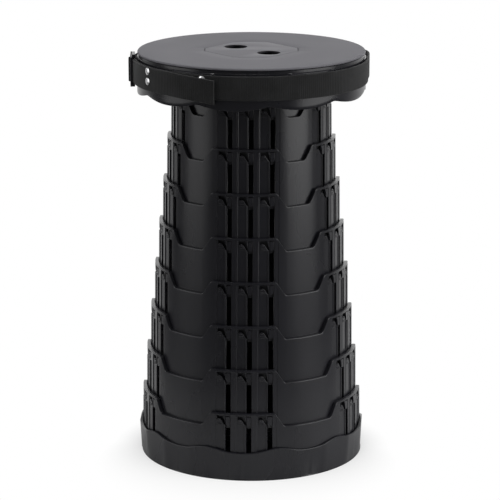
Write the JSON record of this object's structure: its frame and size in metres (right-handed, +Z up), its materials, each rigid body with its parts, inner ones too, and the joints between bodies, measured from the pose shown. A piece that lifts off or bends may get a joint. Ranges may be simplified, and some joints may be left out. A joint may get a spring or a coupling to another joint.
{
  "type": "collapsible telescopic stool",
  "caption": "Collapsible round stool whose nested plastic rings telescope between a base cup and a seat with a lid, a finger-hole panel and a webbing carrying strap.",
  "frame": {"origin": "centre of the base cup's underside, on the ground", "axes": "+Z up along the column; one group of three guide slots faces -Y; X to the right of that view"},
  "size_m": [0.2584, 0.2525, 0.4482],
  "materials": {
    "black_plastic": "moulded black plastic with a fine satin grain",
    "grey_plastic": "moulded mid-grey plastic with a fine grain",
    "panel_plastic": "moulded grey plastic, a little lighter and smoother than the lid",
    "webbing": "black woven webbing with fine upright ribs",
    "steel": "bright plated steel",
    "foot_rubber": "black rubber"
  },
  "bodies": {
    "base": {"base_cup": "black_plastic", "foot_pad_1": "foot_rubber", "foot_pad_2": "foot_rubber", "foot_pad_3": "foot_rubber", "foot_pad_4": "foot_rubber", "foot_pad_5": "foot_rubber", "ring_1": "black_plastic"},
    "ring_2": {"ring_2": "black_plastic"},
    "ring_3": {"ring_3": "black_plastic"},
    "ring_4": {"ring_4": "black_plastic"},
    "ring_5": {"ring_5": "black_plastic"},
    "ring_6": {"ring_6": "black_plastic"},
    "ring_7": {"ring_7": "black_plastic"},
    "ring_8": {"ring_8": "black_plastic"},
    "seat": {"neck_ring": "black_plastic", "neck_screw_1": "steel", "neck_screw_2": "steel", "neck_screw_3": "steel", "neck_screw_4": "steel", "neck_screw_5": "steel", "seat_tray": "black_plastic", "seat_cover": "grey_plastic", "centre_panel": "panel_plastic", "carry_strap": "webbing", "strap_buckle": "black_plastic", "strap_rivet_upper": "steel", "strap_rivet_lower": "steel", "front_rivet": "steel"}
  },
  "joints": [
    {"name": "ring_2_slide", "type": "slide", "parent": "base", "child": "ring_2", "axis": [0, 0, 1], "range_m": [-0.047, 0]},
    {"name": "ring_3_slide", "type": "slide", "parent": "ring_2", "child": "ring_3", "axis": [0, 0, 1], "range_m": [-0.047, 0]},
    {"name": "ring_4_slide", "type": "slide", "parent": "ring_3", "child": "ring_4", "axis": [0, 0, 1], "range_m": [-0.047, 0]},
    {"name": "ring_5_slide", "type": "slide", "parent": "ring_4", "child": "ring_5", "axis": [0, 0, 1], "range_m": [-0.047, 0]},
    {"name": "ring_6_slide", "type": "slide", "parent": "ring_5", "child": "ring_6", "axis": [0, 0, 1], "range_m": [-0.047, 0]},
    {"name": "ring_7_slide", "type": "slide", "parent": "ring_6", "child": "ring_7", "axis": [0, 0, 1], "range_m": [-0.047, 0]},
    {"name": "ring_8_slide", "type": "slide", "parent": "ring_7", "child": "ring_8", "axis": [0, 0, 1], "range_m": [-0.047, 0]},
    {"name": "seat_slide", "type": "slide", "parent": "ring_8", "child": "seat", "axis": [0, 0, 1], "range_m": [-0.0396, 0]}
  ]
}
